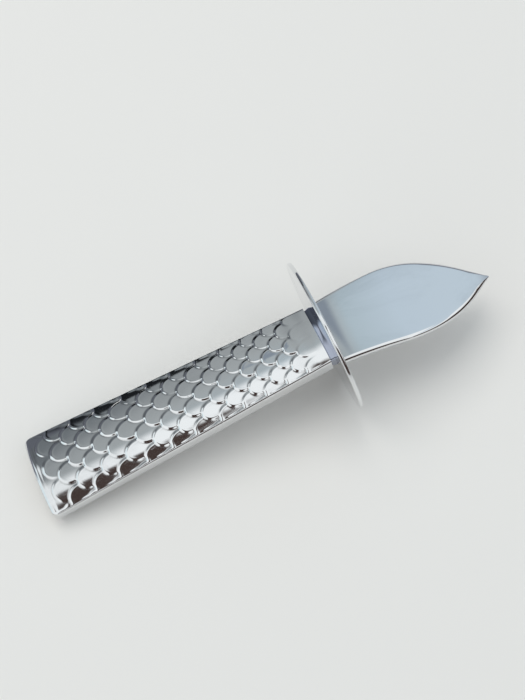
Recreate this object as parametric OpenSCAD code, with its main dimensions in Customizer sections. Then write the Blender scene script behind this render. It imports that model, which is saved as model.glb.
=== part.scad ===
// Oyster knife with a flat tapering hollow handle, a round hand guard and an arched leaf blade.
// It lies as it does on a table: the guard's rim and the butt touch the ground plane.
// The knife's own frame has U along the handle from the butt to the guard, V across the
// handle and W through its thickness. lie() tilts that frame into the resting pose.

/* [Handle] */
// Length from the flat butt end to the mouth at the collar
handle_length = 101.7; // [85:0.1:120]
// Width across the butt
butt_width = 28.9; // [24:0.1:34]
// Width across the mouth
mouth_width = 21.5; // [19:0.1:25]
// Thickness through the crowns at the butt
butt_thickness = 11; // [9.5:0.1:14]
// Thickness through the crowns at the mouth
mouth_thickness = 10; // [9:0.1:12]
// Radius of the crowned broad faces, across the handle
crown_radius = 34; // [30:0.5:60]
// Sheet thickness of the two half shells
shell_wall = 1; // [0.6:0.1:1.4]

/* [Butt cap] */
// Length of the cap that shows behind the shells
cap_length = 3; // [2.6:0.1:5]
// Rounding of the cap's end towards the broad faces
cap_edge_radius = 1.7; // [1:0.1:2.5]
// Rounding of the cap's corners, seen from above
cap_corner_radius = 2; // [1:0.1:4]
// Length of the cap's plug inside the shells
cap_plug_length = 2.5; // [1.5:0.1:5]

/* [Collar] */
// Length of the collar that shows between the mouth and the guard
collar_length = 1.7; // [1.2:0.1:5]
// How far the collar is set in from the mouth's outer surface
collar_step = 0.5; // [0.2:0.05:0.9]
// Length of the collar's plug inside the shells
collar_plug_length = 4; // [2:0.1:8]

/* [Guard] */
// Diameter of the round hand guard
guard_diameter = 52.3; // [44:0.1:60]
// Thickness of the hand guard
guard_thickness = 1.4; // [1.1:0.1:2.5]
// Rounding of the guard's rim
guard_rim_radius = 0.5; // [0.2:0.05:0.54]

/* [Blade] */
// Length along the blade from the guard to the point
blade_length = 64.5; // [57:0.1:72]
// Greatest width of the leaf
blade_width = 27.9; // [25:0.1:33]
// Width of the leaf at the guard
blade_base_width = 23.7; // [18:0.1:24.5]
// Distance from the guard to the widest place
widest_at = 26; // [22:0.1:33]
// Radius of the outline where it turns into the widest place from the guard's side
shoulder_radius = 46; // [25:1:60]
// Half of the angle between the two flanks at the point
tip_half_angle = 32; // [30:0.5:36]
// Thickness of the leaf up to its widest place
blade_thickness = 3; // [2.2:0.1:4]
// Thickness that the leaf tapers to at the point
tip_thickness = 1.8; // [1.2:0.1:2.2]
// How far in from the outline the blunt edge is rounded
edge_depth = 1.7; // [0.8:0.1:3]
// Angle by which the blade arches down from the handle's line
bend_angle = 28.5; // [20:0.5:32]
// Radius of the arch that starts at the guard, at the middle of the thickness
bend_radius = 82; // [60:1:95]

/* [Tang] */
// Length of the tang behind the blade's seat on the guard
tang_length = 58; // [40:0.5:80]
// Width of the tang
tang_width = 13; // [9:0.1:15]
// Thickness of the tang
tang_thickness = 3; // [2:0.1:4]

/* [Fits] */
// Gap on each side of the tang in the guard, the collar and the core
tang_gap = 0.1; // [0.05:0.05:0.3]
// Gap between the shells' inside and what is pushed into them
plug_gap = 0.1; // [0.05:0.05:0.3]

/* [Hidden] */
$fn = 96;

// Stations along the handle
guard_at = handle_length + collar_length;
blade_at = guard_at + guard_thickness;

// Half of the handle's thickness, and the shells' crown line falling from the cap to the mouth
butt_half = butt_thickness / 2;
mouth_half = mouth_thickness / 2;
crown_fall = atan((butt_half - mouth_half) / (handle_length - cap_length));
crown_reach = handle_length * 3;
side_reach = 2 * crown_radius;

// How far a plug or the tang is sunk into its own block, so that the two are one solid
root_depth = 1;

// The butt rests on its lower rounding and the guard on its lower rim. Both are circles seen from
// the side, so the tilt is the angle of their lower common tangent.
butt_radius = cap_edge_radius;
butt_circle = [butt_radius, -(butt_half - butt_radius)];
rim_circle = [guard_at + guard_rim_radius, -(guard_diameter / 2 - guard_rim_radius)];
circle_drop = butt_circle[1] - rim_circle[1];
circle_run = rim_circle[0] - butt_circle[0];
tilt = acos((butt_radius - guard_rim_radius) / norm([circle_drop, circle_run]))
    - atan2(circle_run, circle_drop);
rest_lift = butt_radius - (butt_circle[0] * sin(tilt) + butt_circle[1] * cos(tilt));

// Leaf outline: a straight flank that widens from the guard, a shoulder arc tangent to it, a belly
// arc, then a straight flank to the point
base_half = blade_base_width / 2;
widest_half = blade_width / 2;
shoulder_middle = [widest_at, widest_half - base_half - shoulder_radius];
neck_angle = atan2(shoulder_middle[1], shoulder_middle[0])
    + asin(shoulder_radius / norm(shoulder_middle));
neck_to = widest_at - shoulder_radius * sin(neck_angle);
fore_length = blade_length - widest_at;
belly_radius = (fore_length * sin(tip_half_angle) - widest_half * cos(tip_half_angle))
    / (1 - cos(tip_half_angle));
flank_from = widest_at + belly_radius * sin(tip_half_angle);
point_half = 0.25;
point_at = blade_length - point_half / tan(tip_half_angle);

// Rings of the leaf: some round the arch, the rest out to the point
bend_length = bend_radius * bend_angle * PI / 180;
bend_rings = 26;
leaf_rings = 24;
nose_steps = 8;

function mix(from, to, part) = from + (to - from) * part;
function arc_dip(radius, run) = radius - sqrt(radius * radius - run * run);
function half_width(s) =
    s < neck_to ? base_half + s * tan(neck_angle)
    : s < widest_at ? widest_half - arc_dip(shoulder_radius, widest_at - s)
    : s < flank_from ? widest_half - arc_dip(belly_radius, s - widest_at)
    : (blade_length - s) * tan(tip_half_angle);
function half_depth(s) =
    s < widest_at ? blade_thickness / 2
    : mix(blade_thickness, tip_thickness, (s - widest_at) / fore_length) / 2;

// Middle line of the blade, from the guard's face: an arch down through the bend, then straight
function bend_part(s) = min(s, bend_length) / bend_length * bend_angle;
function line_u(s) = bend_radius * sin(bend_part(s)) + max(0, s - bend_length) * cos(bend_angle);
function line_w(s) = -bend_radius * (1 - cos(bend_part(s))) - max(0, s - bend_length) * sin(bend_angle);
function blade_point(s, across, through) = [
    blade_at + line_u(s) + through * sin(bend_part(s)),
    across,
    line_w(s) + through * cos(bend_part(s))
];

// Cross-section of the leaf: flat faces with a rounded nose along each edge
function nose_turns() = [for (i = [0 : nose_steps]) -90 + 180 * i / nose_steps];
function ring_outline(half, depth, nose) = concat(
    [for (q = nose_turns()) [half - nose + nose * cos(q), depth * sin(q)]],
    [for (q = nose_turns()) [nose - half - nose * cos(q), -depth * sin(q)]]
);
function leaf_ring(s) =
    let (half = half_width(s), depth = min(half_depth(s), half), nose = min(edge_depth, half * 0.98))
    [for (p = ring_outline(half, depth, nose)) blade_point(s, p[0], p[1])];
leaf_stations = concat(
    [for (i = [0 : bend_rings - 1]) bend_length * i / bend_rings],
    [for (i = [0 : leaf_rings]) mix(bend_length, point_at, i / leaf_rings)]
);
leaf_points = [for (s = leaf_stations) each leaf_ring(s)];
ring_size = 2 * (nose_steps + 1);

// The ground under the middle of the whole knife is the origin
function resting_x(p) = p[0] * cos(tilt) - p[2] * sin(tilt);
butt_end_x = butt_radius * cos(tilt) - (butt_half - butt_radius) * sin(tilt) - butt_radius;
point_x = max([for (p = leaf_points) resting_x(p)]);
middle_x = (butt_end_x + point_x) / 2;

// Tilts the knife's own frame into the resting pose, centred on the origin
module lie() {
    translate([-middle_x, 0, rest_lift])
        rotate([0, -tilt, 0])
            children();
}

// Half of the handle's width at a place along it, grown outwards by an amount
function handle_half(u, grow) = mix(butt_width, mouth_width, u / handle_length) / 2 + grow;

// Tapering outline seen from above, from the butt end to past the guard
module handle_outline(grow) {
    from = -grow;
    to = guard_at + collar_length;
    polygon([
        [from, -handle_half(0, grow)],
        [to, -handle_half(to, grow)],
        [to, handle_half(to, grow)],
        [from, handle_half(0, grow)]
    ]);
}

// What the rounding takes off the outline at the butt corner on the +V side
module corner_waste() {
    lean = atan((butt_width - mouth_width) / 2 / handle_length);
    run = cap_corner_radius * tan((90 - lean) / 2);
    corner = [0, handle_half(0, 0)];
    on_end = corner - [0, run];
    on_side = corner + run * [cos(lean), -sin(lean)];
    middle = on_end + [cap_corner_radius, 0];
    difference() {
        polygon([on_end, on_end - [run, 0], corner + [-run, run], on_side + [0, run], on_side, middle]);
        translate(middle)
            circle(r = cap_corner_radius);
    }
}

// Outer outline of the handle, with both butt corners rounded
module rounded_outline() {
    difference() {
        handle_outline(0);
        corner_waste();
        mirror([0, 1])
            corner_waste();
    }
}

// The outline child as an upright block between two stations
module outline_block(from, to) {
    intersection() {
        translate([0, 0, -side_reach])
            linear_extrude(height = 2 * side_reach)
                children();
        translate([from, -side_reach, -side_reach])
            cube([to - from, 2 * side_reach, 2 * side_reach]);
    }
}

// Space under the shells' upper crown: a cylinder along the handle that falls to the mouth
module crown_space(grow) {
    translate([cap_length, 0, butt_half - crown_radius])
        rotate([0, 90 + crown_fall, 0])
            cylinder(r = crown_radius + grow, h = 2 * crown_reach, center = true, $fn = 180);
}

// Form of the handle between two stations: the outline child, under both crowns. The growth is
// negative for an inner surface.
module handle_form(grow, from, to) {
    intersection() {
        outline_block(from, to)
            children();
        crown_space(grow);
        mirror([0, 0, 1])
            crown_space(grow);
    }
}

// Handle's form between two stations, set in from the outer surface by a depth
module inner_form(depth, from, to) {
    handle_form(-depth, from, to)
        handle_outline(-depth);
}

// Straight bar for the tang between two stations, with a gap added on each side
module tang_bar(from, to, gap) {
    translate([from, -tang_width / 2 - gap, -tang_thickness / 2 - gap])
        cube([to - from, tang_width + 2 * gap, tang_thickness + 2 * gap]);
}

// Half shell of the handle: pressed sheet, open at both ends
module half_shell() {
    difference() {
        intersection() {
            handle_form(0, cap_length, handle_length)
                rounded_outline();
            translate([0, -side_reach, 0])
                cube([2 * handle_length, 2 * side_reach, side_reach]);
        }
        inner_form(shell_wall, cap_length - root_depth, handle_length + root_depth);
    }
}

module handle_upper() {
    color("silver")
        lie()
            half_shell();
}

module handle_lower() {
    color("lightgray")
        lie()
            mirror([0, 0, 1])
                half_shell();
}

// Turned form of the cap's upper broad face, rounded towards the flat end
module cap_rounding() {
    translate([0, 0, butt_half - crown_radius])
        rotate([0, 90, 0])
            rotate_extrude($fn = 180)
                difference() {
                    square([crown_radius, 2 * cap_length]);
                    difference() {
                        translate([crown_radius - butt_radius, 0])
                            square(butt_radius);
                        translate([crown_radius - butt_radius, butt_radius])
                            circle(r = butt_radius);
                    }
                }
}

// Butt cap: rounded end block with a plug that closes the shells
module butt_cap() {
    color("gainsboro")
        lie() {
            intersection() {
                outline_block(0, cap_length)
                    rounded_outline();
                cap_rounding();
                mirror([0, 0, 1])
                    cap_rounding();
            }
            inner_form(shell_wall + plug_gap, cap_length - root_depth, cap_length + cap_plug_length);
        }
}

// Collar: short smooth ferrule set in from the mouth, with a plug into the shells
module collar() {
    color("lightsteelblue")
        lie()
            difference() {
                union() {
                    inner_form(collar_step, handle_length, guard_at);
                    inner_form(
                        shell_wall + plug_gap,
                        handle_length - collar_plug_length,
                        handle_length + root_depth
                    );
                }
                tang_bar(handle_length - 2 * collar_plug_length, guard_at + root_depth, tang_gap);
            }
}

// Hand guard: thin disc with a rounded rim and a slot for the tang
module guard_disc() {
    rim_inset = guard_diameter / 2 - guard_rim_radius;
    color("whitesmoke")
        lie()
            difference() {
                translate([guard_at, 0, 0])
                    rotate([0, 90, 0])
                        rotate_extrude($fn = 180) {
                            square([rim_inset, guard_thickness]);
                            translate([0, guard_rim_radius])
                                square([guard_diameter / 2, guard_thickness - 2 * guard_rim_radius]);
                            for (level = [guard_rim_radius, guard_thickness - guard_rim_radius])
                                translate([rim_inset, level])
                                    intersection() {
                                        circle(r = guard_rim_radius);
                                        translate([0, -guard_rim_radius])
                                            square(2 * guard_rim_radius);
                                    }
                        }
                tang_bar(guard_at - root_depth, blade_at + root_depth, tang_gap);
            }
}

// Leaf with its arch, lofted through the rings
module leaf() {
    last = len(leaf_stations) - 1;
    sides = [
        for (i = [0 : last - 1]) for (j = [0 : ring_size - 1])
            let (k = (j + 1) % ring_size, a = i * ring_size, b = a + ring_size)
            [a + j, b + j, b + k, a + k]
    ];
    base = [for (j = [0 : ring_size - 1]) j];
    point = [for (j = [ring_size - 1 : -1 : 0]) last * ring_size + j];
    polyhedron(points = leaf_points, faces = concat([base], sides, [point]), convexity = 4);
}

// Blade and tang, forged in one piece
module blade() {
    color("slategray")
        lie() {
            leaf();
            tang_bar(blade_at - tang_length, blade_at, 0);
            tang_bar(blade_at - root_depth, blade_at + root_depth, -tang_thickness / 4);
        }
}

// Resin core that fills the handle and holds the tang
module handle_core() {
    from = cap_length + cap_plug_length + plug_gap;
    to = handle_length - collar_plug_length - plug_gap;
    color("peru")
        lie()
            difference() {
                inner_form(shell_wall + plug_gap, from, to);
                tang_bar(blade_at - tang_length - tang_gap, blade_at, tang_gap);
            }
}

blade();
guard_disc();
collar();
handle_upper();
handle_lower();
butt_cap();
handle_core();
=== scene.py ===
"""Looks of an all-steel oyster knife, built round its CAD frame.

The knife has its own frame: U runs along the handle from the butt to the guard, V across the
handle and W through its thickness. Every piece is made in that frame, in millimetres, and then
laid down in the resting pose, in metres.
"""

import logging
import math
from collections.abc import Callable
from dataclasses import dataclass, field, fields
from enum import Enum

import bmesh
import bpy
import numpy as np
from mathutils import Matrix, Vector

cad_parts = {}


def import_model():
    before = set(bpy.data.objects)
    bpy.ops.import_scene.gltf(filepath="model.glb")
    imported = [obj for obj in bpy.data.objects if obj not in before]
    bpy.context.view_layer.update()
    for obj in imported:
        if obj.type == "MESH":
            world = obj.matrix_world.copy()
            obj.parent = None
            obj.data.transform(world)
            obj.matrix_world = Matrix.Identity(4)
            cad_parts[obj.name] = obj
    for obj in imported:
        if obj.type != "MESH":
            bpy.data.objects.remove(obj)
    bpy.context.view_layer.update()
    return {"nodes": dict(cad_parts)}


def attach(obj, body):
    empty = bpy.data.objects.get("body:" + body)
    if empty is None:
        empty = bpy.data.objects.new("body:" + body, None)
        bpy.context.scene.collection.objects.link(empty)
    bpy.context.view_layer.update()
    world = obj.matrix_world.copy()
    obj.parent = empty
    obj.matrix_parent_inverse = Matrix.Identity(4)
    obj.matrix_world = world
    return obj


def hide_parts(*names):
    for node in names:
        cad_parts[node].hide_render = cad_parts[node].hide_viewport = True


MM = 0.001
VIEW_YAW = math.radians(25.716)
FORGED_CREASE = math.radians(35)
LOFTED_CREASE = math.radians(50)
# Millimetres within which a point counts as lying on a plane, and the least divisor.
TOUCH = 1e-4
TINY = 1e-6
# A tone is linear red, green and blue, a span is the two limits of a ramp, and a grain is the
# angle that a pattern is turned by and how far it is drawn out.
Tone = tuple[float, float, float]
Span = tuple[float, float]
Grain = tuple[float, float]
Socket = bpy.types.NodeSocket
log = logging.getLogger("oyster_knife")


class Side(Enum):
    """The two half shells of the handle, by the sign of W that they lie on."""

    UPPER = 1.0
    LOWER = -1.0


def ease(value: np.ndarray) -> np.ndarray:
    """Smooth step from 0 to 1.

    Args:
        value: Numbers, where 0 and below give 0, and 1 and above give 1.

    Returns:
        The eased numbers.
    """
    part = np.clip(value, 0.0, 1.0)
    return part * part * (3.0 - 2.0 * part)


def arc_dip(radius: float, run: np.ndarray) -> np.ndarray:
    """How far an arc has fallen at a distance from its top.

    Args:
        radius: Radius of the arc.
        run: Distance from the top of the arc.

    Returns:
        The fall, in the unit of the radius.
    """
    return radius - np.sqrt(radius * radius - run * run)


@dataclass(frozen=True)
class Pose:
    """How the knife lies: the butt's rounding and the guard's rim touch the ground."""

    tilt: float = math.radians(11.4101)
    middle_x: float = 82.3094
    lift: float = 5.08859

    def matrix(self) -> Matrix:
        """Matrix from the knife's own frame, in millimetres, to the resting pose in metres."""
        place = Matrix.Translation((-self.middle_x * MM, 0.0, self.lift * MM))
        return place @ Matrix.Rotation(-self.tilt, 4, "Y") @ Matrix.Scale(MM, 4)


@dataclass(frozen=True)
class HandleForm:
    """Outer form of the handle: a tapering outline under two crowned broad faces."""

    length: float = 101.7
    butt_width: float = 28.9
    mouth_width: float = 21.5
    butt_half: float = 5.5
    mouth_half: float = 5.0
    crown_radius: float = 34.0
    edge_radius: float = 0.9
    cap_length: float = 3.0

    def half_width(self, u: np.ndarray) -> np.ndarray:
        """Half of the outline's width at stations along the handle."""
        return (self.butt_width + (self.mouth_width - self.butt_width) * u / self.length) / 2.0

    def apex(self, u: np.ndarray) -> np.ndarray:
        """Height of the crown line at stations along the handle."""
        part = np.clip((u - self.cap_length) / (self.length - self.cap_length), 0.0, None)
        return self.butt_half + (self.mouth_half - self.butt_half) * part


@dataclass(frozen=True)
class ScaleRelief:
    """Fish-scale relief of the broad faces, as depths below the plain crown.

    The scales lie in rows across the handle, with their free rounded ends towards the butt. Each
    row is set half a scale over from the one before, and overlaps it.
    """

    row_tips: tuple[float, ...] = (
        3.2, 7.1, 11.9, 16.1, 20.7, 24.9, 29.5, 34.8, 39.5, 43.9, 48.5,
        52.5, 57.0, 61.6, 65.7, 70.0, 74.0, 77.9, 81.7, 85.6, 89.4, 93.0,
    )  # fmt: skip
    last_run: float = 4.2
    half_pitch: float = 0.1425
    columns: int = 4
    reach: float = 10.5
    rise: float = 0.21
    bead: float = 0.03
    bead_at: float = 0.72
    bead_width: float = 0.36
    edge_run: float = 0.72
    far_edge: float = 1.15
    cusp_edge: float = 2.2
    steeper: float = 0.4
    steep_from: float = 2.0
    steep_run: float = 7.0
    lean_scatter: float = 0.05
    level_scatter: float = 0.004
    turn_scatter: float = 0.006
    side_shift: float = -0.15
    margin_level: float = -0.12
    margin_run: float = 0.5
    rim_share: float = 0.6
    butt_from: float = 1.2
    butt_run: float = 1.0
    fade_from: float = 90.0
    fade_run: float = 5.5
    near_bonus: float = 3.0
    ghost: float = 0.16
    ghost_end: float = 1.5
    ghost_run: float = 4.0
    smooth_level: float = -0.07
    smooth_run: float = 6.0
    seed: int = 11

    def heights(self, u: np.ndarray, v: np.ndarray, form: HandleForm) -> np.ndarray:
        """Paints the scales row by row, from the butt to the mouth.

        Args:
            u: Stations along the handle, as a grid.
            v: Places across the handle, as a grid of the same shape.
            form: The handle's outer form.

        Returns:
            The height of each point over the plain crown, zero or below.
        """
        rng = np.random.default_rng(self.seed)
        width = 2.0 * form.half_width(u)
        lane = self.half_pitch * width
        ground = np.full(u.shape, -self.rise - self.bead)
        for row, tip in enumerate(self.row_tips):
            last = row + 1 == len(self.row_tips)
            run = self.last_run if last else self.row_tips[row + 1] - tip
            for column in range(row % 2 - self.columns, self.columns + 1, 2):
                level, lean, turn = rng.normal(0.0, 1.0, 3)
                q = (v - self.side_shift) / lane - column
                ahead = np.clip((tip + run - u) / run, 0.0, None)
                reach = np.hypot(ahead, q)
                slope = np.hypot(ahead / run, q / lane) / np.maximum(reach, TINY)
                inside = (1.0 - reach) / np.maximum(slope, TINY)
                mask = (reach < 1.0) & (u < tip + self.reach)
                along = u - tip
                lean = 1.0 + self.lean_scatter * lean
                top = -self.bead - self.rise * along / run * lean
                top += self.level_scatter * level + self.turn_scatter * turn * q
                top += self.bead * np.exp(-(((inside - self.bead_at) / self.bead_width) ** 2))
                cover = ease(inside / self._edge_width(q, v))
                ground = np.where(mask, ground * (1.0 - cover) + top * cover, ground)
        return self._settle(ground, u, v, form)

    def _edge_width(self, q: np.ndarray, v: np.ndarray) -> np.ndarray:
        """How far the edge of a scale takes to fall away.

        Args:
            q: Places across the scale, from -1 to 1.
            v: Places across the handle.

        Returns:
            The width of the edge: wide at the near cusps, less so on the handle's far half.
        """
        near_edge = 1.0 + (self.cusp_edge - 1.0) * q**4
        near_edge *= 1.0 - self.steeper * ease((v - self.steep_from) / self.steep_run)
        return self.edge_run * np.where(q > 0.0, self.far_edge, near_edge)

    def _settle(
        self, ground: np.ndarray, u: np.ndarray, v: np.ndarray, form: HandleForm
    ) -> np.ndarray:
        """Fades the relief out at the mouth, the butt and the long edges.

        Args:
            ground: The painted heights.
            u: Stations along the handle.
            v: Places across the handle.
            form: The handle's outer form.

        Returns:
            The faded heights, zero or below.
        """
        near = ease(-v / form.half_width(u))
        fade = ease((u - self.fade_from - self.near_bonus * near) / self.fade_run)
        left = form.length - u
        fade *= 1.0 - self.ghost * ease((left - self.ghost_end) / self.ghost_run)
        smooth = self.smooth_level * (1.0 - ease((self.smooth_run - left) / self.smooth_run))
        settled = ground * (1.0 - fade) + smooth * fade
        rim = form.half_width(u) - form.edge_radius * self.rim_share
        keep = ease((rim - np.abs(v)) / self.margin_run)
        keep *= ease((u - self.butt_from) / self.butt_run)
        level = self.margin_level + (smooth - self.margin_level) * fade
        settled = level + (settled - level) * keep
        return np.minimum(settled, 0.0)


@dataclass
class MeshStock:
    """Points and faces that are gathered before they become one mesh."""

    points: list[np.ndarray] = field(default_factory=list)
    faces: list[tuple[int, ...]] = field(default_factory=list)
    notes: list[np.ndarray] = field(default_factory=list)
    count: int = 0

    def ring(self, u: float | np.ndarray, v: np.ndarray, w: np.ndarray, note: np.ndarray) -> int:
        """Adds one ring of points.

        Args:
            u: Station of the ring, or of each point.
            v: Places across.
            w: Heights.
            note: How high each point stands over its surroundings.

        Returns:
            The index of the ring's first point.
        """
        first = self.count
        self.points.append(np.stack([np.broadcast_to(u, v.shape), v, w], axis=-1))
        self.notes.append(np.broadcast_to(note, v.shape))
        self.count += len(v)
        return first

    def band(self, a: int, b: int, size: int, closed: bool) -> None:
        """Joins two rings of the same size with quads.

        Args:
            a: First point of one ring.
            b: First point of the next ring.
            size: Points in each ring.
            closed: Whether the last point joins the first.
        """
        for j in range(size if closed else size - 1):
            k = (j + 1) % size
            self.faces.append((a + j, b + j, b + k, a + k))

    def lace(self, a: int, size_a: int, b: int, size_b: int, closed: bool) -> None:
        """Joins two rings of different sizes with quads and triangles.

        Args:
            a: First point of the finer ring.
            size_a: Points in the finer ring.
            b: First point of the coarser ring.
            size_b: Points in the coarser ring.
            closed: Whether the rings close on themselves.
        """
        steps = size_a if closed else size_a - 1
        spans = size_b if closed else size_b - 1
        for j in range(steps):
            here = b + (j * spans // steps) % size_b
            there = b + ((j + 1) * spans // steps) % size_b
            corner = (a + j, here, there, a + (j + 1) % size_a)
            self.faces.append(corner if here != there else (corner[0], corner[1], corner[3]))

    def lid(self, first: int, size: int, turned: bool) -> None:
        """Closes a ring with one face, turned round where the ring ends a piece."""
        face = tuple(range(first, first + size))
        self.faces.append(face[::-1] if turned else face)

    def build(self, name: str, matrix: Matrix) -> bpy.types.Object:
        """Makes the object, with its place in its mesh.

        Args:
            name: Name of the object.
            matrix: From the knife's own frame to the scene.

        Returns:
            The new object.
        """
        mesh = bpy.data.meshes.new(name)
        mesh.from_pydata(np.concatenate(self.points).tolist(), [], self.faces)
        mesh.transform(matrix)
        crest = mesh.attributes.new("crest", "FLOAT", "POINT")
        crest.data.foreach_set("value", np.concatenate(self.notes).astype(np.float32))
        mesh.update()
        piece = bpy.data.objects.new(name, mesh)
        bpy.context.scene.collection.objects.link(piece)
        return piece


def blurred(grid: np.ndarray, passes: int) -> np.ndarray:
    """Softens a grid of heights along both of its directions.

    Args:
        grid: The heights.
        passes: How often the softening is repeated.

    Returns:
        The softened heights.
    """
    soft = grid.copy()
    for _ in range(passes):
        for axis in (0, 1):
            pad = [(1, 1) if k == axis else (0, 0) for k in (0, 1)]
            wide = np.pad(soft, pad, mode="edge")
            low = wide[:-2] if axis == 0 else wide[:, :-2]
            high = wide[2:] if axis == 0 else wide[:, 2:]
            soft = 0.25 * low + 0.5 * soft + 0.25 * high
    return soft


@dataclass
class CrownedSection:
    """Upper half of the handle's cross-section, from one seam over the crown to the other."""

    form: HandleForm
    crown_steps: int = 140
    edge_steps: int = 6
    wall_steps: int = 2

    def size(self) -> int:
        """Number of points in the half section."""
        return self.crown_steps + 1 + 2 * (self.edge_steps + self.wall_steps)

    def whole_size(self) -> int:
        """Number of points in the whole section."""
        return 2 * self.size() - 2

    def across(self, half: np.ndarray) -> np.ndarray:
        """Places of the crown's points across the handle.

        Args:
            half: Half widths, one for each station.

        Returns:
            A grid of V, stations by crown points.
        """
        reach = self.crown_reach(half)
        return np.outer(reach, np.linspace(-1.0, 1.0, self.crown_steps + 1))

    def crown_reach(self, half: np.ndarray) -> np.ndarray:
        """Where the crown ends and the rounded edge begins, for each half width."""
        edge = self.form.edge_radius
        return (half - edge) / (1.0 - edge / self.form.crown_radius)

    def half_ring(
        self, half: float, apex: float, v: np.ndarray, height: np.ndarray
    ) -> tuple[np.ndarray, np.ndarray]:
        """One half section with its crown, rounded edges and walls.

        Args:
            half: Half of the outline's width there.
            apex: Height of the crown line there.
            v: Places of the crown's points.
            height: Relief over the plain crown at those points.

        Returns:
            The V and W of the half section's points, from -V to +V.
        """
        edge = self.form.edge_radius
        crown = apex - arc_dip(self.form.crown_radius, v) + height
        lean = math.asin(v[-1] / self.form.crown_radius)
        turns = lean + (math.pi / 2 - lean) * np.arange(1, self.edge_steps + 1) / self.edge_steps
        middle_v = half - edge
        right_w = crown[-1] - edge * math.cos(lean)
        left_w = crown[0] - edge * math.cos(lean)
        right = (middle_v + edge * np.sin(turns), right_w + edge * np.cos(turns))
        left = (-right[0][::-1], (left_w + edge * np.cos(turns))[::-1])
        drop = np.arange(1, self.wall_steps + 1) / self.wall_steps
        wall = np.full(self.wall_steps, half)
        v_all = np.concatenate([-wall, left[0], v, right[0], wall])
        w_all = np.concatenate(
            [(left_w * (1 - drop))[::-1], left[1], crown, right[1], right_w * (1 - drop)]
        )
        return v_all, w_all

    def whole_ring(
        self, stock: MeshStock, station: float, half: float, apex: float, v: np.ndarray,
        height: np.ndarray,
    ) -> int:  # fmt: skip
        """Adds a whole section, the upper half and its mirror image, to a lofted piece.

        Args:
            stock: The piece's points and faces.
            station: Station of the section.
            half: Half of the outline's width there.
            apex: Height of the crown line there.
            v: Places of the crown's points.
            height: Relief over the plain crown at those points.

        Returns:
            The index of the ring's first point.
        """
        v_half, w_half = self.half_ring(half, apex, v, height)
        v_all = np.concatenate([v_half, -v_half[1:-1]])
        w_all = np.concatenate([w_half, -w_half[1:-1]])
        return stock.ring(station, v_all, w_all, np.zeros(1))


@dataclass
class HandleShell:
    """Pressed half shell of the handle, with the scale relief on its broad face."""

    side: Side
    section: CrownedSection
    relief: ScaleRelief
    pose: Pose
    wall: float = 1.0
    spacing: float = 0.2
    lining_steps: int = 10
    soften: int = 2
    surround: int = 9

    @property
    def name(self) -> str:
        """Name of the piece."""
        return f"scaled_shell_{self.side.name.lower()}"

    def build(self) -> bpy.types.Object:
        """Builds the closed shell: relief outside, plain lining inside.

        Returns:
            The shell's object.
        """
        form = self.section.form
        steps = round((form.length - form.cap_length) / self.spacing)
        stations = np.linspace(form.cap_length, form.length, steps + 1)
        half = form.half_width(stations)
        apex = form.apex(stations)
        v = self.section.across(half)
        u = np.repeat(stations[:, None], v.shape[1], axis=1)
        height = blurred(self.relief.heights(u, v, form), self.soften)
        crest = height - blurred(height, self.surround)
        flip = self.side.value
        stock = MeshStock()
        size = self.section.size()
        pad = self.section.edge_steps + self.section.wall_steps
        outer: list[int] = []
        inner: list[int] = []
        for i, station in enumerate(stations):
            ring_v, ring_w = self.section.half_ring(half[i], apex[i], v[i], height[i])
            note = np.pad(crest[i], (pad, pad))
            outer.append(stock.ring(station, ring_v * flip, ring_w * flip, note))
        for i, station in enumerate(stations):
            inner.append(self._lining(stock, station, half[i], apex[i], flip))
        for i in range(steps):
            stock.band(outer[i], outer[i + 1], size, False)
            stock.band(inner[i + 1], inner[i], self.lining_steps + 1, False)
            for end, far in ((0, 0), (size - 1, self.lining_steps)):
                quad = (outer[i] + end, inner[i] + far, inner[i + 1] + far, outer[i + 1] + end)
                stock.faces.append(quad if end == 0 else quad[::-1])
        for i in (0, steps):
            first = len(stock.faces)
            stock.lace(outer[i], size, inner[i], self.lining_steps + 1, False)
            if i == 0:
                stock.faces[first:] = [face[::-1] for face in stock.faces[first:]]
        return stock.build(self.name, self.pose.matrix())

    def _lining(
        self, stock: MeshStock, station: float, half: float, apex: float, flip: float
    ) -> int:
        """Adds one ring of the shell's inside.

        Args:
            stock: The shell's points and faces.
            station: Station of the ring.
            half: Half of the outer width there.
            apex: Height of the outer crown line there.
            flip: Sign of the side.

        Returns:
            The index of the ring's first point.
        """
        inside = half - self.wall
        radius = self.section.form.crown_radius - self.wall
        v = np.linspace(-inside, inside, self.lining_steps - 1)
        w = apex - self.wall - arc_dip(radius, v)
        ring_v = np.concatenate([[-inside], v, [inside]])
        ring_w = np.concatenate([[0.0], w, [0.0]])
        return stock.ring(station, ring_v * flip, ring_w * flip, np.zeros(1))


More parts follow.
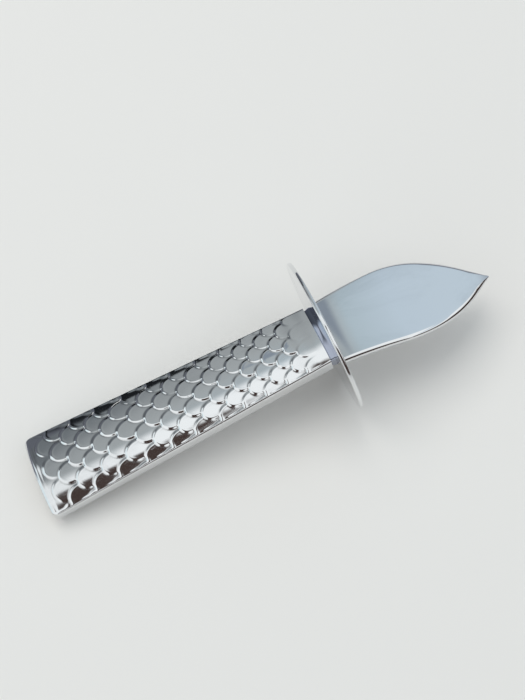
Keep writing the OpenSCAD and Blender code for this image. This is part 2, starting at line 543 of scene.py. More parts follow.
@dataclass
class ButtCap:
    """End cap of the handle: its edges run round into a flat end."""

    section: CrownedSection
    relief: ScaleRelief
    pose: Pose
    depth: float = 2.75
    drop: float = 1.0
    corner: float = 2.0
    rounding_steps: int = 26
    plug_length: float = 2.5
    plug_inset: float = 1.1
    plug_steps: int = 12

    name: str = "rounded_butt_cap"

    def build(self) -> bpy.types.Object:
        """Lofts the cap from the seam to its flat end.

        Returns:
            The cap's object.
        """
        form = self.section.form
        turns = np.linspace(0.0, math.pi / 2, self.rounding_steps + 1)
        stations = form.cap_length - self.depth * np.sin(turns)
        half = form.half_width(stations) - self.corner * (1.0 - np.cos(turns))
        apex = form.butt_half - self.drop * (1.0 - np.cos(turns))
        v = self.section.across(half)
        u = np.repeat(stations[:, None], v.shape[1], axis=1)
        height = self.relief.heights(u, v, form)
        stock = MeshStock()
        rings: list[int] = []
        for each in zip(stations, half, apex, v, height):
            rings.append(self.section.whole_ring(stock, *each))
        size = self.section.whole_size()
        for a, b in zip(rings, rings[1:]):
            stock.band(b, a, size, True)
        stock.lid(rings[-1], size, False)
        self._plug(stock, rings[0], size)
        return stock.build(self.name, self.pose.matrix())

    def _plug(self, stock: MeshStock, seam: int, size: int) -> None:
        """Adds the plug that closes the shells' open end.

        Args:
            stock: The cap's points and faces.
            seam: First point of the ring at the seam.
            size: Points in that ring.
        """
        form = self.section.form
        steps = self.plug_steps
        half = form.half_width(form.cap_length) - self.plug_inset
        v = np.linspace(-half, half, steps)
        w = form.butt_half - self.plug_inset - arc_dip(form.crown_radius - self.plug_inset, v)
        loop_v = np.concatenate([v, v[::-1]])
        loop_w = np.concatenate([w, -w[::-1]])
        near = stock.ring(form.cap_length, loop_v, loop_w, np.zeros(1))
        far = stock.ring(form.cap_length + self.plug_length, loop_v, loop_w, np.zeros(1))
        stock.lace(seam, size, near, 2 * steps, True)
        stock.band(near, far, 2 * steps, True)
        stock.lid(far, 2 * steps, True)


@dataclass
class Collar:
    """Short ferrule that flares from the handle's mouth to the guard."""

    section: CrownedSection
    pose: Pose
    length: float = 1.7
    step: float = 0.5
    flare: float = 0.40
    flare_power: float = 1.2
    plug_length: float = 4.0
    plug_inset: float = 1.1
    stations: int = 8

    name: str = "flared_collar"

    def build(self) -> bpy.types.Object:
        """Lofts the collar and its plug.

        Returns:
            The collar's object.
        """
        form = self.section.form
        part = np.linspace(0.0, 1.0, self.stations + 1)
        inset = self.step + self.flare * (1.0 - part) ** self.flare_power
        rows = [(form.length - self.plug_length, self.plug_inset)]
        rows.append((form.length, self.plug_inset))
        rows += [(form.length + self.length * p, depth) for p, depth in zip(part, inset)]
        stock = MeshStock()
        rings: list[int] = []
        size = self.section.whole_size()
        for station, depth in rows:
            half = form.half_width(np.array([station])) - depth
            v = self.section.across(half)[0]
            apex = form.apex(station) - depth
            ring = self.section.whole_ring(stock, station, half[0], apex, v, np.zeros_like(v))
            rings.append(ring)
        for a, b in zip(rings, rings[1:]):
            stock.band(a, b, size, True)
        stock.lid(rings[0], size, False)
        stock.lid(rings[-1], size, True)
        return stock.build(self.name, self.pose.matrix())


def deselect_all() -> None:
    """Leaves object mode with nothing selected."""
    if bpy.context.object and bpy.context.object.mode != "OBJECT":
        bpy.ops.object.mode_set(mode="OBJECT")
    bpy.ops.object.select_all(action="DESELECT")


class Grip(Enum):
    """What is picked in edit mode: points, edges or faces."""

    POINTS = ("VERT", "verts")
    EDGES = ("EDGE", "edges")
    FACES = ("FACE", "faces")


def pick(piece: bpy.types.Object, grip: Grip, wanted: Callable[[list[Vector]], bool]) -> None:
    """Selects the parts of a mesh that lie where they are wanted.

    Args:
        piece: The object, in edit mode.
        grip: Which kind of part is picked.
        wanted: Says from the places of a part's points whether it is picked.
    """
    mode, parts = grip.value
    bpy.context.tool_settings.mesh_select_mode = tuple(kind is grip for kind in Grip)
    mesh = bmesh.from_edit_mesh(piece.data)
    mesh.select_mode = {mode}
    for item in (*mesh.verts, *mesh.edges, *mesh.faces):
        item.select = False
    for item in getattr(mesh, parts):
        spots = [item.co] if grip is Grip.POINTS else [vertex.co for vertex in item.verts]
        if wanted(spots):
            item.select = True
    mesh.select_flush_mode()
    bmesh.update_edit_mesh(piece.data)


def select_only(piece: bpy.types.Object) -> None:
    """Selects one object and nothing else, and makes it the active one.

    Args:
        piece: The object.
    """
    deselect_all()
    piece.select_set(True)
    bpy.context.view_layer.objects.active = piece


def apply_modifiers(piece: bpy.types.Object) -> None:
    """Applies every modifier of a piece, in order.

    Args:
        piece: The piece.
    """
    select_only(piece)
    for modifier in list(piece.modifiers):
        bpy.ops.object.modifier_apply(modifier=modifier.name)


def shade_forged(piece: bpy.types.Object) -> None:
    """Shades a forged piece smoothly, with its flat faces kept flat.

    Args:
        piece: The piece.
    """
    select_only(piece)
    bpy.ops.object.shade_smooth_by_angle(angle=FORGED_CREASE)
    piece.modifiers.new("weight", "WEIGHTED_NORMAL").keep_sharp = True
    apply_modifiers(piece)


@dataclass
class GuardDisc:
    """Thin round hand guard with a rounded rim and a slot for the tang."""

    pose: Pose
    station: float = 103.4
    diameter: float = 52.3
    thickness: float = 1.4
    rim_radius: float = 0.5
    rim_segments: int = 6
    slot_width: float = 13.2
    slot_height: float = 3.2
    segments: int = 240

    name: str = "polished_guard"

    def build(self) -> bpy.types.Object:
        """Models the disc from a cylinder, rounds its rims and cuts its slot.

        Returns:
            The guard's object.
        """
        deselect_all()
        bpy.ops.mesh.primitive_cylinder_add(
            vertices=self.segments, radius=self.diameter / 2, depth=self.thickness
        )
        piece = bpy.context.object
        piece.name = self.name
        bpy.ops.object.mode_set(mode="EDIT")
        pick(piece, Grip.EDGES, lambda ends: abs(ends[0].z - ends[1].z) < self.rim_radius)
        bpy.ops.mesh.bevel(offset=self.rim_radius, segments=self.rim_segments, profile=0.5)
        bpy.ops.object.mode_set(mode="OBJECT")
        self._cut_slot(piece)
        shade_forged(piece)
        turn = Matrix.Rotation(math.pi / 2, 4, "Y")
        place = Matrix.Translation((self.station + self.thickness / 2, 0.0, 0.0))
        piece.data.transform(self.pose.matrix() @ place @ turn)
        return piece

    def _cut_slot(self, piece: bpy.types.Object) -> None:
        """Cuts the tang's slot through the disc.

        Args:
            piece: The disc, flat on its own XY plane.
        """
        deselect_all()
        bpy.ops.mesh.primitive_cube_add(size=1.0)
        cutter = bpy.context.object
        cutter.dimensions = (self.slot_height, self.slot_width, self.thickness * 3)
        bpy.context.view_layer.update()
        cut = piece.modifiers.new("slot", "BOOLEAN")
        cut.operation = "DIFFERENCE"
        cut.object = cutter
        apply_modifiers(piece)
        bpy.data.objects.remove(cutter)


@dataclass
class LeafBlade:
    """Broad leaf blade, arched down from the guard, with blunt round edges and a tang.

    It is drawn out flat, with X along the leaf, Y towards the underside and Z across, and is then
    bent over its arch.
    """

    pose: Pose
    seat: float = 104.8
    length: float = 64.46
    width: float = 27.9
    base_width: float = 23.7
    widest_at: float = 26.0
    shoulder: float = 46.0
    point_angle: float = math.radians(32.0)
    thickness: float = 3.0
    point_thickness: float = 1.8
    point_run: float = 9.0
    point_share: float = 0.35
    base_nose: float = 1.5
    point_nose: float = 2.4
    nose_from: float = 20.0
    nose_to: float = 45.0
    arch: float = math.radians(28.5)
    arch_radius: float = 82.0
    leaf_steps: int = 96
    nose_segments: int = 6
    nose_share: float = 0.998
    tang_length: float = 58.0
    tang_half: float = 6.5
    point_half: float = 0.25
    slab: float = 0.3

    name: str = "mirror_blade"

    def half_width(self, s: float) -> float:
        """Half of the leaf's width at a distance from the guard.

        Args:
            s: Distance along the blade's middle line.

        Returns:
            The half width there.
        """
        base, widest = self.base_width / 2, self.width / 2
        drop = widest - self.shoulder - base
        flank = math.atan2(drop, self.widest_at)
        flank += math.asin(self.shoulder / math.hypot(self.widest_at, drop))
        flank_to = self.widest_at - self.shoulder * math.sin(flank)
        sine, cosine = math.sin(self.point_angle), math.cos(self.point_angle)
        belly = ((self.length - self.widest_at) * sine - widest * cosine) / (1 - cosine)
        if s < flank_to:
            return base + s * math.tan(flank)
        if s < self.widest_at:
            return widest - float(arc_dip(self.shoulder, self.widest_at - s))
        if s < self.widest_at + belly * sine:
            return widest - float(arc_dip(belly, s - self.widest_at))
        return (self.length - s) * math.tan(self.point_angle)

    def half_depth(self, s: float) -> float:
        """Half of the leaf's thickness at a distance from the guard.

        Args:
            s: Distance along the blade's middle line.

        Returns:
            The half thickness there.
        """
        part = max(0.0, s - self.widest_at) / (self.length - self.widest_at)
        full = (self.thickness + (self.point_thickness - self.thickness) * part) / 2
        ending = max(0.0, 1.0 - (self.length - s) / self.point_run)
        return full * (1.0 - (1.0 - self.point_share) * ending**2)

    def nose(self, s: float) -> float:
        """How far the round edge reaches into the leaf at a distance from the guard.

        Args:
            s: Distance along the blade's middle line.

        Returns:
            The reach there.
        """
        part = min(max((s - self.nose_from) / (self.nose_to - self.nose_from), 0.0), 1.0)
        wide = self.base_nose + (self.point_nose - self.base_nose) * part
        return min(wide, self.half_width(s) / 2)

    def build(self) -> bpy.types.Object:
        """Draws the leaf out ring by ring to the point, bends it and adds the tang.

        Returns:
            The blade's object.
        """
        piece = self._first_slab()
        point = self.length - self.point_half / math.tan(self.point_angle)
        stations = np.linspace(self.slab, point, self.leaf_steps + 1)
        for here, there in zip(stations, stations[1:]):
            self._draw_out(piece, float(here), float(there))
        bpy.ops.object.mode_set(mode="OBJECT")
        self._bend(piece, point)
        self._add_tang(piece)
        bpy.ops.object.mode_set(mode="OBJECT")
        shade_forged(piece)
        place = Matrix.Translation((self.seat, 0.0, 0.0)) @ Matrix.Rotation(-math.pi / 2, 4, "X")
        piece.data.transform(self.pose.matrix() @ place)
        return piece

    def _first_slab(self) -> bpy.types.Object:
        """Starts the blade as a thin slab whose long edges are rounded off.

        Returns:
            The blade's object, in edit mode.
        """
        depth = self.half_depth(0.0)
        half = self.half_width(0.0)
        deselect_all()
        bpy.ops.mesh.primitive_cube_add(size=1.0, location=(self.slab / 2, 0.0, 0.0))
        piece = bpy.context.object
        piece.name = self.name
        piece.scale = (self.slab, 2 * depth, 2 * half)
        bpy.ops.object.transform_apply(location=True, rotation=True, scale=True)
        bpy.ops.object.mode_set(mode="EDIT")
        pick(piece, Grip.EDGES, lambda ends: abs(ends[0].x - ends[1].x) > self.slab / 2)
        bpy.ops.mesh.bevel(offset=depth * self.nose_share, segments=self.nose_segments, profile=0.5)
        return piece

    def _draw_out(self, piece: bpy.types.Object, here: float, there: float) -> None:
        """Draws the front face out to the next station and gives it its width and thickness.

        Args:
            piece: The blade's object, in edit mode.
            here: Distance of the front face from the guard.
            there: Distance of the next station from the guard.
        """
        old, new = self.half_width(here), self.half_width(there)
        thin = self.half_depth(there) / self.half_depth(here)
        pick(piece, Grip.FACES, lambda spots: all(abs(p.x - here) < TOUCH for p in spots))
        bpy.ops.mesh.extrude_region_move(
            TRANSFORM_OT_translate={"value": (there - here, 0.0, 0.0)}
        )
        bpy.ops.transform.resize(value=(1.0, thin, 1.0), center_override=(there, 0, 0))
        growth = self.nose(there) / self.nose(here)
        for side in (-1, 1):
            pick(
                piece, Grip.POINTS,
                lambda spots: abs(spots[0].x - there) < TOUCH and spots[0].z * side > 0,
            )  # fmt: skip
            bpy.ops.transform.resize(
                value=(1.0, 1.0, growth), center_override=(there, 0, side * old)
            )
            bpy.ops.transform.translate(value=(0.0, 0.0, side * (new - old)))

    def _bend(self, piece: bpy.types.Object, point: float) -> None:
        """Bends the flat leaf over its arch, which starts at the guard.

        Args:
            piece: The flat leaf, in object mode.
            point: Distance of its front end from the guard.
        """
        bend = piece.modifiers.new("arch", "SIMPLE_DEFORM")
        bend.deform_method = "BEND"
        bend.deform_axis = "Z"
        bend.angle = self.arch
        bend.limits = (0.0, self.arch_radius * self.arch / point)
        apply_modifiers(piece)

    def _add_tang(self, piece: bpy.types.Object) -> None:
        """Draws the tang out of the back face.

        Args:
            piece: The bent leaf, in object mode.
        """
        bpy.ops.object.mode_set(mode="EDIT")
        pick(piece, Grip.FACES, lambda spots: all(abs(p.x) < TOUCH for p in spots))
        bpy.ops.mesh.extrude_region_move(TRANSFORM_OT_translate={"value": (0.0, 0.0, 0.0)})
        narrow = self.tang_half / self.half_width(0.0)
        bpy.ops.transform.resize(value=(1.0, 1.0, narrow), center_override=(0, 0, 0))
        bpy.ops.mesh.extrude_region_move(
            TRANSFORM_OT_translate={"value": (-self.tang_length, 0.0, 0.0)}
        )


class NodeBoard:
    """Short way to place and link the nodes of a material, group or world."""

    def __init__(self, tree: bpy.types.NodeTree) -> None:
        """Starts on a node tree.

        Args:
            tree: The tree that nodes are placed in.
        """
        self.tree = tree

    def put(self, value: object, socket: Socket) -> None:
        """Links a socket to an input, or sets the input to a value.

        Args:
            value: The socket, number or tuple; a tone is given its opacity of 1.
            socket: The input.
        """
        if isinstance(value, Socket):
            self.tree.links.new(value, socket)
        elif isinstance(value, tuple) and len(socket.default_value) > len(value):
            socket.default_value = (*value, 1.0)
        else:
            socket.default_value = value

    def add(self, kind: str, settings: dict | None = None, **inputs: object) -> bpy.types.Node:
        """Places a node.

        Args:
            kind: The node's type, without its common beginning.
            settings: Properties of the node itself.
            inputs: Values or linked sockets, by the input's name or by its number after an i.

        Returns:
            The new node.
        """
        node = self.tree.nodes.new("ShaderNode" + kind)
        for key, value in (settings or {}).items():
            setattr(node, key, value)
        for key, value in inputs.items():
            numbered = key[0] == "i" and key[1:].isdigit()
            self.put(value, node.inputs[int(key[1:]) if numbered else key.replace("_", " ")])
        return node

    def math(self, operation: str, *values: object) -> Socket:
        """Places a math node.

        Args:
            operation: What it does.
            values: Its inputs, numbers or sockets.

        Returns:
            Its output.
        """
        inputs = {f"i{k}": value for k, value in enumerate(values)}
        return self.add("Math", {"operation": operation}, **inputs).outputs[0]

    def gather(self, operation: str, parts: list[Socket]) -> Socket:
        """Joins any number of sockets by one operation, such as their product.

        Args:
            operation: The math operation.
            parts: The sockets, at least one.

        Returns:
            The result.
        """
        total = parts[0]
        for part in parts[1:]:
            total = self.math(operation, total, part)
        return total

    def step(self, value: Socket, start: float, full: float) -> Socket:
        """Eased ramp from 0 to 1.

        Args:
            value: The socket that is ramped.
            start: Value at which the ramp leaves 0.
            full: Value at which it reaches 1, above or below the start.

        Returns:
            The ramp's output socket.
        """
        smooth = {"interpolation_type": "SMOOTHSTEP"}
        return self.add("MapRange", smooth, i0=value, i1=start, i2=full).outputs[0]

    def blend(self, part: Socket, low: Tone | Socket, high: Tone | Socket) -> Socket:
        """Mixes two colours.

        Args:
            part: Share of the second colour.
            low: First colour.
            high: Second colour.

        Returns:
            The mixed colour.
        """
        return self.add("Mix", {"data_type": "RGBA"}, i0=part, i6=low, i7=high).outputs[2]

    def ramp(self, part: Socket, stops: tuple[tuple[float, Tone], ...]) -> Socket:
        """Places a colour ramp.

        Args:
            part: The socket that is ramped.
            stops: Places from 0 to 1, each with its colour.

        Returns:
            The ramp's colour socket.
        """
        node = self.add("ValToRGB", i0=part)
        line = node.color_ramp.elements
        while len(line) < len(stops):
            line.new(0.5)
        for element, (place, tone) in zip(line, stops):
            element.position = place
            element.color = (*tone, 1.0)
        return node.outputs[0]


class MaterialBoard(NodeBoard):
    """Board of a new material, with its one shader."""

    def __init__(self, name: str) -> None:
        """Makes the material.

        Args:
            name: Its name.
        """
        self.made = bpy.data.materials.new(name)
        self.made.use_nodes = True
        super().__init__(self.made.node_tree)
        self.shader = self.tree.nodes["Principled BSDF"]

    def shade(self, **inputs: object) -> bpy.types.Material:
        """Sets or links the shader's inputs.

        Args:
            inputs: Values or linked sockets, by the input's name.

        Returns:
            The material.
        """
        for key, value in inputs.items():
            self.put(value, self.shader.inputs[key.replace("_", " ")])
        return self.made


@dataclass(frozen=True)
class SurfaceMarks:
    """Marks that several steel finishes share, each one a node group that puts out a mask."""

    hairline_scale: float = 900.0
    hairline_grains: tuple[Grain, ...] = ((0.3, 0.03), (1.2, 0.02), (-0.7, 0.025))
    hairline_limits: Span = (0.66, 0.74)
    haze_scale: float = 40.0
    haze_grain: Grain = (0.5, 0.45)
    haze_limits: Span = (0.42, 0.72)

    def _start(self, name: str, scale: float) -> tuple[NodeBoard, Socket, Socket, Socket]:
        """Makes an empty group.

        Args:
            name: Name of the group.
            scale: Its scale, where a material gives none.

        Returns:
            Its board, its place and scale as sockets, and the socket that its mask goes to.
        """
        group = bpy.data.node_groups.new(name, "ShaderNodeTree")
        group.interface.new_socket("Vector", in_out="INPUT", socket_type="NodeSocketVector")
        size = group.interface.new_socket("Scale", in_out="INPUT", socket_type="NodeSocketFloat")
        size.default_value = scale
        group.interface.new_socket("Mask", in_out="OUTPUT", socket_type="NodeSocketFloat")
        given = group.nodes.new("NodeGroupInput").outputs
        result = group.nodes.new("NodeGroupOutput").inputs[0]
        return NodeBoard(group), given[0], given[1], result

    def _draw(self, board: NodeBoard, place: Socket, grain: Grain) -> Socket:
        """Turns a pattern's place and draws it out, as its grain says."""
        turn, stretch = grain
        return board.add(
            "Mapping", i0=place, i2=(0.0, 0.0, turn), i3=(stretch, 1.0, 1.0)
        ).outputs[0]  # fmt: skip

    def hairlines(self) -> bpy.types.NodeTree:
        """Fine polishing hairlines in three directions.

        Returns:
            Their group.
        """
        board, place, scale, mask = self._start("hairline_scratches", self.hairline_scale)
        lines = []
        for grain in self.hairline_grains:
            drawn = self._draw(board, place, grain)
            noise = board.add("TexNoise", i0=drawn, Scale=scale, Detail=2.0)
            lines.append(board.step(noise.outputs[0], *self.hairline_limits))
        board.put(board.gather("MAXIMUM", lines), mask)
        return board.tree

    def haze(self) -> bpy.types.NodeTree:
        """Faint smears that wiping leaves on polished steel.

        Returns:
            Their group.
        """
        board, place, scale, mask = self._start("wiping_haze", self.haze_scale)
        noise = board.add(
            "TexNoise", i0=self._draw(board, place, self.haze_grain), Scale=scale, Detail=5.0,
            Roughness=0.62, Distortion=0.6,
        )  # fmt: skip
        board.put(board.step(noise.outputs[0], *self.haze_limits), mask)
        return board.tree


@dataclass(frozen=True)
class SteelFinish:
    """Polished stainless steel, from a mirror to a worn satin."""

    name: str
    slot: str
    tone: Tone = (0.80, 0.81, 0.82)
    dull: Tone = (0.70, 0.71, 0.72)
    roughness: float = 0.05
    haze: float = 0.05
    haze_scale: float = 55.0
    scratch: float = 0.05
    scratch_scale: float = 2600.0
    scratch_height: float = 0.000002
    scratch_strength: float = 0.35
    # Painted shade in recesses: its strength, the depth below the surroundings where it is full,
    # its tone, and the extra roughness there.
    recess_shade: float = 0.0
    recess_shade_depth: float = -0.05
    recess_shade_tone: Tone = (0.16, 0.15, 0.14)
    recess_roughness: float = 0.12

    def material(self, hazes: bpy.types.NodeTree, lines: bpy.types.NodeTree) -> bpy.types.Material:
        """Builds the finish as a node material.

        Args:
            hazes: Group of the wiping haze.
            lines: Group of the hairline scratches.

        Returns:
            The material.
        """
        board = MaterialBoard(self.name)
        place = board.add("TexCoord").outputs["Object"]
        haze = board.add("Group", {"node_tree": hazes}, Vector=place, Scale=self.haze_scale)
        marks = board.add("Group", {"node_tree": lines}, Vector=place, Scale=self.scratch_scale)
        haze, marks = haze.outputs[0], marks.outputs[0]
        tone = board.blend(haze, self.tone, self.dull)
        rough = board.math("MULTIPLY_ADD", haze, self.haze, self.roughness)
        rough = board.math("MULTIPLY_ADD", marks, self.scratch, rough)
        # Painted shade: the base colour darkens where the surface lies below its surroundings.
        if self.recess_shade:
            crest = board.add("Attribute", {"attribute_name": "crest"}).outputs["Fac"]
            hollow_shade = board.step(crest, 0.0, self.recess_shade_depth)
            tone = board.blend(board.math("MULTIPLY", hollow_shade, self.recess_shade), tone, self.recess_shade_tone)
            rough = board.math("MULTIPLY_ADD", hollow_shade, self.recess_roughness, rough)
        bump = board.add(
            "Bump", {"invert": True}, Strength=self.scratch_strength,
            Distance=self.scratch_height, Height=marks,
        )  # fmt: skip
        return board.shade(Metallic=1.0, Base_Color=tone, Roughness=rough, Normal=bump.outputs[0])


@dataclass(frozen=True)
class ResinFinish:
    """Cast resin that fills the handle: amber, slightly cloudy, with fine air bubbles."""

    name: str = "amber_resin"
    tone: Tone = (0.42, 0.27, 0.13)
    cloud: Tone = (0.55, 0.41, 0.24)
    cloud_scale: float = 180.0
    cloud_limits: Span = (0.35, 0.7)
    bubble_scale: float = 900.0
    bubble_limits: Span = (0.22, 0.08)
    bubble_height: float = 0.0002
    bubble_strength: float = 0.5
    roughness: float = 0.32
    cloud_roughness: float = 0.2

    def material(self) -> bpy.types.Material:
        """Builds the finish as a node material.

        Returns:
            The material.
        """
        board = MaterialBoard(self.name)
        place = board.add("TexCoord").outputs["Object"]
        cloud = board.add("TexNoise", i0=place, Scale=self.cloud_scale, Detail=6.0, Roughness=0.6)
        cloud = cloud.outputs[0]
        bubbles = board.add("TexVoronoi", i0=place, Scale=self.bubble_scale)
        pits = board.step(bubbles.outputs["Distance"], *self.bubble_limits)
        tone = board.blend(board.step(cloud, *self.cloud_limits), self.tone, self.cloud)
        rough = board.math("MULTIPLY_ADD", cloud, self.cloud_roughness, self.roughness)
        bump = board.add(
            "Bump", {"invert": True}, Strength=self.bubble_strength,
            Distance=self.bubble_height, Height=pits,
        )  # fmt: skip
        return board.shade(Base_Color=tone, Roughness=rough, Normal=bump.outputs[0])


@dataclass(frozen=True)
class Aim:
    """Where a mirrored ray points: parts of its length, its bearing and its slant."""

    right: Socket
    away: Socket
    up: Socket
    bearing: Socket
    slant: Socket


@dataclass(frozen=True)
class Patch:
    """Part of the room, bounded by spans: where it sets in and where it is full."""

    right: tuple[Span, ...] = ()
    away: tuple[Span, ...] = ()
    up: tuple[Span, ...] = ()
    bearing: tuple[Span, ...] = ()
    slant: tuple[Span, ...] = ()

    def mask(self, board: NodeBoard, aim: Aim) -> Socket:
        """Mask of the patch.

        Args:
            board: The world's nodes.
            aim: Where a ray points.

        Returns:
            The mask, 1 inside the patch.
        """
        steps = [
            board.step(getattr(aim, axis.name), *span)
            for axis in fields(self)
            for span in getattr(self, axis.name)
        ]
        return board.gather("MULTIPLY", steps)


@dataclass(frozen=True)
class StudioRoom:
    """The still room round the knife, as soft tones by direction for the steel to mirror.

    Right, away and up are meant as seen from the camera. The camera itself sees a plain backdrop
    in the room's place.
    """

    wall_tones: tuple[tuple[float, Tone], ...] = (
        (0.07, (0.20, 0.21, 0.25)),
        (0.12, (0.11, 0.12, 0.13)),
        (0.23, (0.18, 0.20, 0.215)),
        (0.29, (0.36, 0.385, 0.395)),
        (0.35, (0.42, 0.45, 0.46)),
        (0.42, (0.46, 0.52, 0.55)),
        (0.46, (0.50, 0.60, 0.66)),
        (0.63, (0.585, 0.69, 0.78)),
        (1.00, (0.62, 0.72, 0.80)),
    )
    # The soft shade that the blade mirrors at its root, and the wall's foot and left corner.
    panel: Patch = Patch(
        right=((-0.29, -0.25), (-0.14, -0.20)), away=((0.285, 0.315), (0.40, 0.36))
    )
    panel_tone: Tone = (0.27, 0.315, 0.37)
    foot: Patch = Patch(up=((0.42, 0.12),))
    foot_tone: Tone = (0.20, 0.21, 0.25)
    corner: Patch = Patch(up=((0.50, 0.42),), right=((-0.3, -0.38),), away=((0.40, 0.55),))
    corner_tone: Tone = (0.13, 0.14, 0.165)
    # The black doorway that the handle's far edge mirrors.
    door: Patch = Patch(
        bearing=(
            (math.radians(-40), math.radians(-38)),
            (math.radians(-27.5), math.radians(-29.5)),
        ),
        up=((0.54, 0.51),),
    )
    door_tone: Tone = (0.012, 0.014, 0.016)
    # The white window: its broad part, whose edge is slanted, its strip and its left pane.
    slant_share: float = -0.9
    slant_limits: Span = (-0.30, -0.05)
    window: tuple[Patch, ...] = (
        Patch(slant=((0.30, 0.08),), right=((0.80, 0.74),)),
        Patch(right=((0.70, 0.76),), up=((0.50, 0.45),)),
        Patch(right=((-0.54, -0.62), (-0.91, -0.86)), away=((0.30, 0.17),)),
    )
    window_tone: Tone = (1.01, 1.04, 1.05)
    left_tone: Tone = (0.90, 1.02, 1.06)
    left: Patch = Patch(right=((-0.60, -0.74),))
    # The dark side behind the camera: a post, higher on its right, and two dark parts by it.
    near: Patch = Patch(away=((-0.24, -0.28),))
    near_right: Patch = Patch(away=((-0.20, -0.28),))
    post_right: Patch = Patch(right=((-0.12, -0.06),))
    post: Patch = Patch(right=((-0.24, -0.19), (0.03, -0.03)))
    dark_parts: tuple[Patch, ...] = (
        Patch(right=((0.1, 0.2),), away=((-0.60, -0.72),)),
        Patch(right=((0.70, 0.76),), up=((0.36, 0.30),)),
    )
    dark_tone: Tone = (0.065, 0.045, 0.04)
    backdrop_tone: Tone = (0.74, 0.745, 0.75)

    def build(self) -> None:
        """Paints the world with the room's tones."""
        world = bpy.data.worlds.new("studio_room")
        world.use_nodes = True
        bpy.context.scene.world = world
        board = NodeBoard(world.node_tree)
        aim = self._aim(board)
        tone = board.ramp(board.math("MULTIPLY_ADD", aim.right, 0.5, 0.5), self.wall_tones)
        for part in ("panel", "foot", "corner", "door"):
            mask = getattr(self, part).mask(board, aim)
            tone = board.blend(mask, tone, getattr(self, part + "_tone"))
        glass = board.blend(self.left.mask(board, aim), self.window_tone, self.left_tone)
        panes = [patch.mask(board, aim) for patch in self.window]
        tone = board.blend(board.gather("MAXIMUM", panes), tone, glass)
        tone = board.blend(self._dark_side(board, aim), tone, self.dark_tone)
        seen = board.add("LightPath").outputs["Is Camera Ray"]
        tone = board.blend(seen, tone, self.backdrop_tone)
        board.put(tone, world.node_tree.nodes["Background"].inputs["Color"])

    def _aim(self, board: NodeBoard) -> Aim:
        """Works out where a ray points.

        Args:
            board: The world's nodes.

        Returns:
            The ray's direction, as sockets.
        """
        ray = board.add("TexCoord").outputs["Generated"]
        about_z = {"rotation_type": "Z_AXIS"}
        turned = board.add("VectorRotate", about_z, Vector=ray, Angle=VIEW_YAW)
        right, away, up = board.add("SeparateXYZ", i0=turned.outputs[0]).outputs
        low, high = self.slant_limits
        edge = board.math("MINIMUM", board.math("MAXIMUM", right, low), high)
        slant = board.math("MULTIPLY_ADD", edge, self.slant_share, away)
        return Aim(right, away, up, board.math("ARCTAN2", right, away), slant)

    def _dark_side(self, board: NodeBoard, aim: Aim) -> Socket:
        """Mask of the dark side of the room, behind the camera.

        Args:
            board: The world's nodes.
            aim: Where a ray points.

        Returns:
            The mask, 1 where it is dark.
        """
        near = self.near.mask(board, aim)
        more = board.math("SUBTRACT", self.near_right.mask(board, aim), near)
        height = board.math("MULTIPLY_ADD", self.post_right.mask(board, aim), more, near)
        post = board.math("MULTIPLY", height, self.post.mask(board, aim))
        parts = [patch.mask(board, aim) for patch in self.dark_parts]
        return board.gather("MAXIMUM", [post, *parts])


@dataclass
class StudioLight:
    """Plain soft studio: one large lamp overhead, a still room round it, and a pale floor."""

    lamp_middle: tuple[float, float, float] = (-0.7, 0.5, 1.9)
    lamp_size: float = 1.5
    lamp_tone: Tone = (1.0, 0.965, 0.92)
    lamp_power: float = 20.0
    floor_size: float = 24.0
    floor_tone: Tone = (0.76, 0.75, 0.73)
    floor_roughness: float = 0.8
    floor_gloss: float = 0.2

    def build(self) -> None:
        """Places the lamp, the floor and the room."""
        self._lamp()
        self._floor()
        StudioRoom().build()

    def _lamp(self) -> None:
        """Hangs the lamp that lights the floor; the polished steel shows the room alone."""
        place = Matrix.Rotation(-VIEW_YAW, 4, "Z") @ Vector(self.lamp_middle)
        light = bpy.data.lights.new("overhead_lamp", "AREA")
        light.shape = "SQUARE"
        light.size = self.lamp_size
        light.energy = self.lamp_power
        light.color = self.lamp_tone
        lamp = bpy.data.objects.new("overhead_lamp", light)
        lamp.location = place
        lamp.rotation_euler = (-place).to_track_quat("-Z", "Y").to_euler()
        lamp.visible_glossy = False
        bpy.context.scene.collection.objects.link(lamp)

    def _floor(self) -> None:
        """Lays the plain pale floor."""
        deselect_all()
        bpy.ops.mesh.primitive_plane_add(size=self.floor_size)
        floor = bpy.context.object
        floor.name = "studio_floor"
        board = MaterialBoard("pale_floor")
        board.shade(Base_Color=self.floor_tone, Roughness=self.floor_roughness)
        floor.data.materials.append(board.shade(Specular_IOR_Level=self.floor_gloss))


@dataclass(frozen=True)
class PhotoCamera:
    """Camera at the photograph's viewing angle and distance."""

    elevation: float = math.radians(64.679)
    roll: float = math.radians(0.8955)
    distance: float = 0.369443
    target: tuple[float, float, float] = (0.001303, 0.008062, 0.015)
    lens: float = 56.891
    sensor: float = 36.0
    clip_start: float = 0.01

    def build(self) -> None:
        """Places the camera and makes it the scene's."""
        data = bpy.data.cameras.new("photo_camera")
        data.sensor_fit = "VERTICAL"
        data.sensor_height = self.sensor
        data.sensor_width = self.sensor
        data.lens = self.lens
        data.clip_start = self.clip_start
        turn = Matrix.Rotation(-VIEW_YAW, 4, "Z")
        turn @= Matrix.Rotation(math.pi / 2 - self.elevation, 4, "X")
        back = turn @ Vector((0.0, 0.0, self.distance))
        camera = bpy.data.objects.new("photo_camera", data)
        place = Matrix.Translation(Vector(self.target) + back)
        camera.matrix_world = place @ turn @ Matrix.Rotation(self.roll, 4, "Z")
        bpy.context.scene.collection.objects.link(camera)
        bpy.context.scene.camera = camera


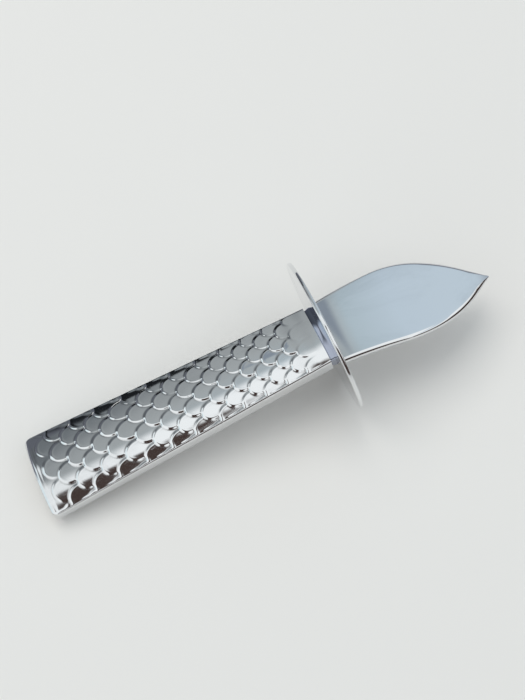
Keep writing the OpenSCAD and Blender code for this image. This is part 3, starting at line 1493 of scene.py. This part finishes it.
BLADE_FINISH = SteelFinish("mirror_steel", "blade_steel", roughness=0.035)
GUARD_FINISH = SteelFinish("guard_polish", "guard_steel", roughness=0.05)
# The collar's steel gets a darker blue-grey base colour: a painted dark reflection.
COLLAR_PAINTED_REFLECTION = SteelFinish(
    "collar_painted_dark_reflection", "collar_steel", tone=(0.38, 0.41, 0.50), dull=(0.33, 0.35, 0.41),
    roughness=0.06,
)  # fmt: skip
# The relief steel darkens the scales' recesses with a painted shade.
SCALED_FINISH = SteelFinish(
    "relief_steel", "handle_steel", roughness=0.06, haze=0.06, recess_shade=0.35
)


@dataclass
class OysterKnife:
    """The whole knife: blade, guard, collar, two shells, butt cap and resin core."""

    pose: Pose = field(default_factory=Pose)
    form: HandleForm = field(default_factory=HandleForm)
    relief: ScaleRelief = field(default_factory=ScaleRelief)

    def dress(self, nodes: dict[str, bpy.types.Object]) -> None:
        """Builds every piece, gives it its finish and ties it to the frame.

        Args:
            nodes: The CAD nodes, by name.
        """
        section = CrownedSection(self.form)
        handle = (section, self.relief, self.pose)
        plans = [
            (LeafBlade(self.pose), "blade", BLADE_FINISH),
            (GuardDisc(self.pose), "guard_disc", GUARD_FINISH),
            (Collar(section, self.pose), "collar", COLLAR_PAINTED_REFLECTION),
            (ButtCap(*handle), "butt_cap", SCALED_FINISH),
            (HandleShell(Side.UPPER, *handle), "handle_upper", SCALED_FINISH),
            (HandleShell(Side.LOWER, *handle), "handle_lower", SCALED_FINISH),
        ]
        marks = SurfaceMarks()
        groups = (marks.haze(), marks.hairlines())
        finishes = (BLADE_FINISH, GUARD_FINISH, COLLAR_PAINTED_REFLECTION, SCALED_FINISH)
        steels = {finish: finish.material(*groups) for finish in finishes}
        for plan, node, finish in plans:
            piece = plan.build()
            piece.data.materials.clear()
            piece.data.materials.append(steels[finish])
            if not isinstance(plan, LeafBlade | GuardDisc):
                select_only(piece)
                bpy.ops.object.shade_smooth_by_angle(angle=LOFTED_CREASE)
            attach(piece, "root")
            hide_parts(node)
            log.info("%s: %d faces", piece.name, len(piece.data.polygons))
        self._fill(nodes["handle_core"])

    def _fill(self, core: bpy.types.Object) -> None:
        """Gives the CAD node of the core its resin.

        Args:
            core: The node.
        """
        resin = ResinFinish().material()
        if not core.material_slots:
            core.data.materials.append(resin)
        for place in core.material_slots:
            place.material = resin
        log.info("%s: %d faces", core.name, len(core.data.polygons))


def main() -> None:
    logging.basicConfig(level=logging.INFO, format="%(name)s: %(message)s")
    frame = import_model()
    PhotoCamera().build()
    scene = bpy.context.scene
    scene.view_settings.view_transform = "Standard"
    StudioLight().build()
    OysterKnife().dress(frame["nodes"])


if __name__ == "__main__":
    main()
